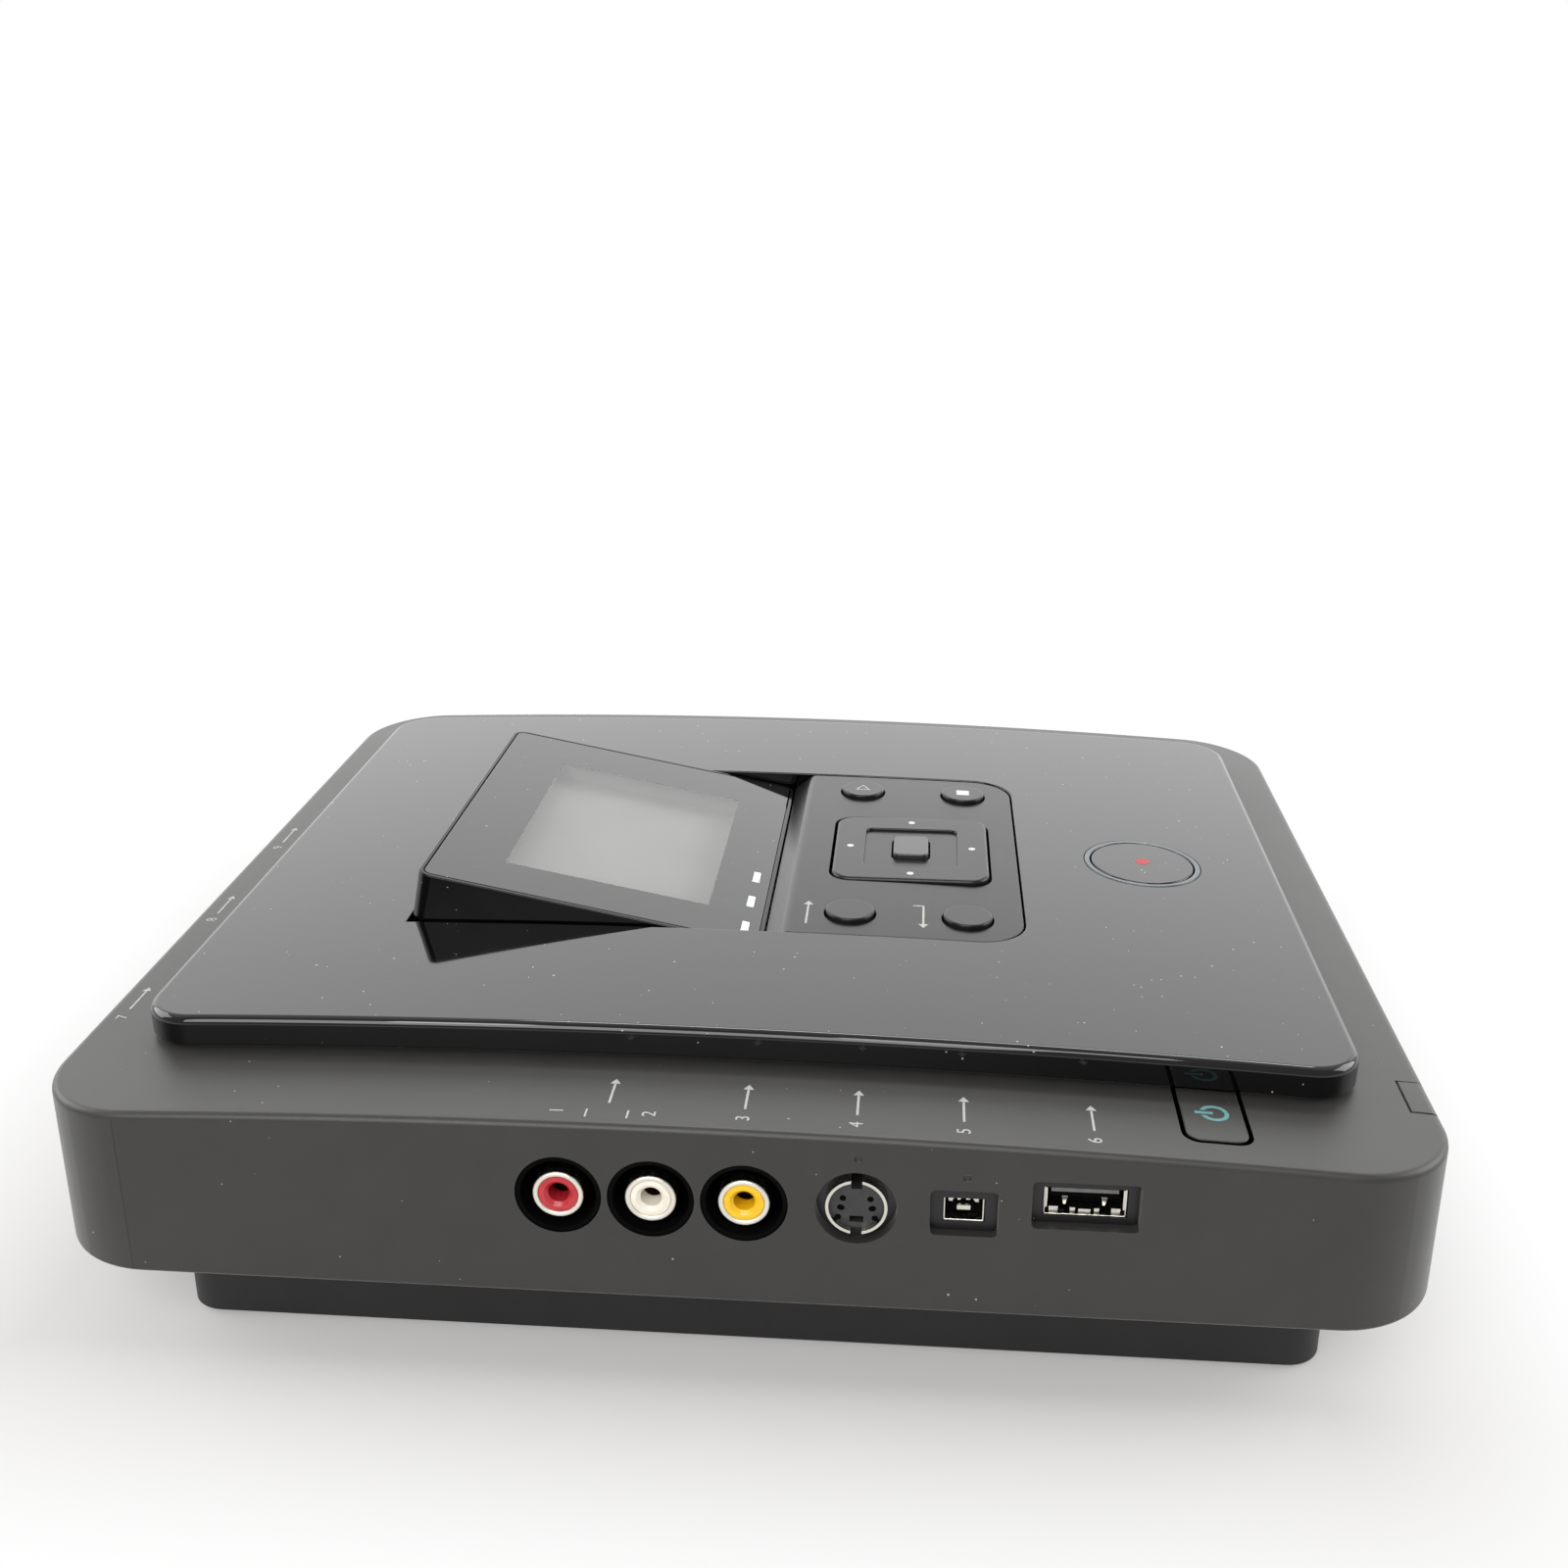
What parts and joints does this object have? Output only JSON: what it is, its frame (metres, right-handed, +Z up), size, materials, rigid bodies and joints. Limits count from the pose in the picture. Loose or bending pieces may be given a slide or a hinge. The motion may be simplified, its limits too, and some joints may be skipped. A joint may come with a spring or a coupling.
{
  "type": "disc recorder",
  "caption": "Low desktop disc recorder: crowned gloss lid with a tilted display and keys, input sockets on its left side and a disc tray in its front.",
  "frame": {"origin": "on the table under the middle of the case", "axes": "+Z up, -Y out of the front with the disc tray, -X out of the left side with the inputs"},
  "size_m": [0.207, 0.232, 0.0661],
  "materials": {
    "case_plastic": "fine matte charcoal",
    "base_plastic": "fine matte black",
    "lid_gloss": "piano black gloss",
    "foot_rubber": "matte",
    "zinc_steel": "zinc plated sheet",
    "panel_plastic": "satin",
    "key_plastic": "satin",
    "pale_plastic": "moulded, natural colour",
    "light_ring": "clear light guide",
    "circuit_board": "green solder mask",
    "switch_metal": "stamped cover",
    "display_glass": "tinted clear acrylic",
    "display_panel": "grey display layer",
    "socket_black": "moulded black",
    "nickel": "nickel plate",
    "red_plastic": "moulded red",
    "white_plastic": "moulded cream white",
    "yellow_plastic": "moulded yellow",
    "drive_plastic": "moulded grey",
    "sled_metal": "die cast",
    "lens_glass": "coated clear"
  },
  "bodies": {
    "case": {"upper_case": "case_plastic", "bottom_cover": "base_plastic", "top_lid": "lid_gloss", "rubber_feet": "foot_rubber", "case_screws": "zinc_steel", "control_panel": "panel_plastic", "record_ring": "light_ring", "control_board": "circuit_board", "tact_switches": "switch_metal", "display_housing": "lid_gloss", "display_window": "display_glass", "display_panel": "display_panel", "indicator_windows": "pale_plastic", "rca_block": "socket_black", "rca_shells": "nickel", "red_insulator": "red_plastic", "white_insulator": "white_plastic", "yellow_insulator": "yellow_plastic", "svideo_body": "socket_black", "svideo_ring": "nickel", "dv_shell": "nickel", "dv_tongue": "socket_black", "usb_shell": "nickel", "usb_tongue": "socket_black", "input_board": "circuit_board", "main_board": "circuit_board", "power_inlet": "socket_black", "av_jack": "yellow_plastic", "hdmi_shell": "nickel", "hdmi_tongue": "socket_black", "card_reader": "zinc_steel", "drive_chassis": "drive_plastic", "drive_cover": "zinc_steel", "drive_belt": "foot_rubber", "loading_motor": "zinc_steel"},
    "play": {"play_button": "key_plastic"},
    "stop": {"stop_button": "key_plastic"},
    "output": {"output_button": "key_plastic"},
    "return": {"return_button": "key_plastic"},
    "gimbal": {"pad_gimbal": "pale_plastic"},
    "pad": {"direction_pad": "key_plastic"},
    "enter": {"enter_key": "key_plastic"},
    "record": {"record_button": "lid_gloss"},
    "power": {"power_key": "panel_plastic"},
    "eject": {"eject_key": "case_plastic"},
    "tray": {"disc_tray": "drive_plastic", "tray_front": "case_plastic"},
    "gear": {"tray_gear": "pale_plastic"},
    "pulley": {"belt_pulley": "pale_plastic"},
    "motor_wheel": {"motor_pulley": "pale_plastic"},
    "lift": {"lift_frame": "drive_plastic", "spindle_motor": "zinc_steel", "guide_rods": "nickel", "feed_motor": "zinc_steel"},
    "disc_seat": {"turntable": "drive_plastic"},
    "sled": {"laser_sled": "sled_metal"},
    "lens": {"laser_lens": "lens_glass"},
    "screw": {"lead_screw": "nickel"},
    "clamp": {"disc_clamp": "drive_plastic"}
  },
  "joints": [
    {"name": "play_press", "type": "slide", "parent": "case", "child": "play", "axis": [0, 0, -1], "range_m": [0, 0.0007], "stiffness_N_per_m": 1500},
    {"name": "stop_press", "type": "slide", "parent": "case", "child": "stop", "axis": [0, 0, -1], "range_m": [0, 0.0007], "stiffness_N_per_m": 1500},
    {"name": "output_press", "type": "slide", "parent": "case", "child": "output", "axis": [0, 0, -1], "range_m": [0, 0.0007], "stiffness_N_per_m": 1500},
    {"name": "return_press", "type": "slide", "parent": "case", "child": "return", "axis": [0, 0, -1], "range_m": [0, 0.0007], "stiffness_N_per_m": 1500},
    {"name": "enter_press", "type": "slide", "parent": "case", "child": "enter", "axis": [0, 0, -1], "range_m": [0, 0.0007], "stiffness_N_per_m": 1500},
    {"name": "record_press", "type": "slide", "parent": "case", "child": "record", "axis": [0, 0, -1], "range_m": [0, 0.0007], "stiffness_N_per_m": 1500},
    {"name": "power_press", "type": "slide", "parent": "case", "child": "power", "axis": [0, 0, -1], "range_m": [0, 0.0007], "stiffness_N_per_m": 1500},
    {"name": "eject_press", "type": "slide", "parent": "case", "child": "eject", "axis": [0, 0, -1], "range_m": [0, 0.0007], "stiffness_N_per_m": 1500},
    {"name": "pad_left_right", "type": "hinge", "parent": "case", "child": "gimbal", "pos_m": [0, -0.0282, 0.05203], "axis": [0, 1, 0], "range_deg": [-3, 3], "stiffness_Nm_per_rad": 0.4},
    {"name": "pad_front_back", "type": "hinge", "parent": "gimbal", "child": "pad", "pos_m": [0, -0.0282, 0.05203], "axis": [1, 0, 0], "range_deg": [-3, 3], "stiffness_Nm_per_rad": 0.4},
    {"name": "tray_slide", "type": "slide", "parent": "case", "child": "tray", "axis": [0, -1, 0], "range_m": [0, 0.125]},
    {"name": "tray_gear_spin", "type": "hinge", "parent": "case", "child": "gear", "pos_m": [-0.042, -0.08, 0.0238], "axis": [0, 0, 1], "continuous": true},
    {"name": "belt_pulley_spin", "type": "hinge", "parent": "case", "child": "pulley", "pos_m": [-0.019, -0.08, 0.02], "axis": [0, 0, 1], "continuous": true},
    {"name": "motor_pulley_spin", "type": "hinge", "parent": "case", "child": "motor_wheel", "pos_m": [0.016, -0.08, 0.019], "axis": [0, 0, 1], "continuous": true},
    {"name": "lift_tilt", "type": "hinge", "parent": "case", "child": "lift", "pos_m": [0, 0.04, 0.017], "axis": [-1, 0, 0], "range_deg": [0, 5]},
    {"name": "spindle_spin", "type": "hinge", "parent": "lift", "child": "disc_seat", "pos_m": [0, -0.04754, 0.01938], "axis": [0, -0.0872, 0.9962], "continuous": true},
    {"name": "sled_slide", "type": "slide", "parent": "lift", "child": "sled", "axis": [0, 0.9962, 0.0872], "range_m": [0, 0.034]},
    {"name": "lead_screw_spin", "type": "hinge", "parent": "lift", "child": "screw", "pos_m": [0.031, 0.00009, 0.01421], "axis": [0, 0.9962, 0.0872], "continuous": true},
    {"name": "lens_focus", "type": "slide", "parent": "sled", "child": "lens", "axis": [0, -0.0872, 0.9962], "range_m": [-0.0006, 0.0006], "stiffness_N_per_m": 80},
    {"name": "clamp_spin", "type": "hinge", "parent": "case", "child": "clamp", "pos_m": [0, -0.047, 0.036], "axis": [0, 0, 1], "continuous": true}
  ],
  "couplings": [
    {"joint": "tray_gear_spin", "follows": "tray_slide", "rad_per_m": 71.429},
    {"joint": "belt_pulley_spin", "follows": "tray_slide", "rad_per_m": -111.11},
    {"joint": "motor_pulley_spin", "follows": "tray_slide", "rad_per_m": -327.98},
    {"joint": "lead_screw_spin", "follows": "sled_slide", "rad_per_m": 2094.4}
  ]
}
